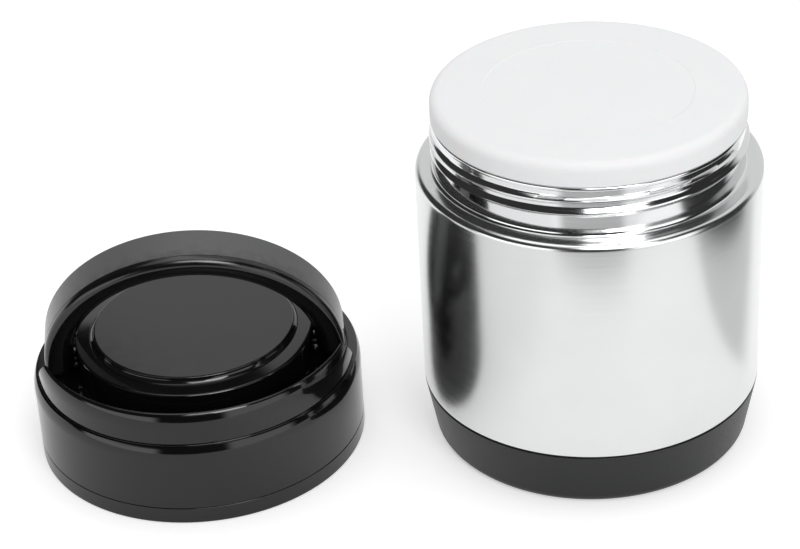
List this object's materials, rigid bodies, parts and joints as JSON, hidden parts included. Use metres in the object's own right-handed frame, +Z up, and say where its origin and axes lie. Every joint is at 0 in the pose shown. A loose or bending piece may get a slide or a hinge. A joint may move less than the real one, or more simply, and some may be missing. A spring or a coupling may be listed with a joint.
{
  "type": "insulated food jar",
  "caption": "Stainless vacuum food jar with a white insulated inner lid and, beside it, a black threaded outer lid with a swinging half-ring handle that folds into a ring channel.",
  "frame": {"origin": "middle of the jar's foot, on the table", "axes": "+Z up along the jar's axis; the screw lid stands towards -X; the handle leans towards -Y"},
  "size_m": [0.2177, 0.1029, 0.1107],
  "materials": {
    "steel_body": "satin brushed, neck polished",
    "steel_inside": "satin",
    "foil": "thin copper foil",
    "satin_black": "satin",
    "black_rubber": "matte",
    "white_plastic": "semi-gloss, slightly translucent",
    "foam": "rigid foam",
    "silicone": "translucent silicone",
    "gloss_black": "high gloss",
    "disc_black": "gloss",
    "pin_steel": "polished",
    "grip": "matte, finely textured",
    "washer": "black acetal, smooth"
  },
  "bodies": {
    "jar": {"outer_shell": "steel_body", "inner_liner": "steel_inside", "bottom_plate": "steel_inside", "vacuum_seal": "steel_inside", "getter": "steel_inside", "radiation_foil": "foil", "base_cup": "satin_black", "base_gasket": "black_rubber"},
    "inner_lid": {"inner_lid_cover": "white_plastic", "inner_lid_plug": "white_plastic", "inner_lid_foam": "foam", "inner_lid_seal": "silicone"},
    "screw_lid": {"lid_shell": "gloss_black", "lid_disc": "disc_black", "lid_liner": "gloss_black", "lid_foam": "foam", "lid_gasket": "silicone", "pivot_pin_left": "pin_steel", "pivot_pin_right": "pin_steel"},
    "handle": {"handle_frame": "gloss_black", "handle_grip": "grip", "friction_washers": "washer"}
  },
  "joints": [
    {"name": "inner_lid_lift", "type": "slide", "parent": "jar", "child": "inner_lid", "axis": [0, 0, 1], "range_m": [0, 0.04]},
    {"name": "lid_lift", "type": "slide", "parent": "jar", "child": "screw_lid", "axis": [0, 0, 1], "range_m": [0, 0.12]},
    {"name": "handle_swing", "type": "hinge", "parent": "screw_lid", "child": "handle", "pos_m": [-0.1184, 0.0036, 0.031], "axis": [0.9994, 0.0349, 0], "range_deg": [-108, 2]}
  ]
}
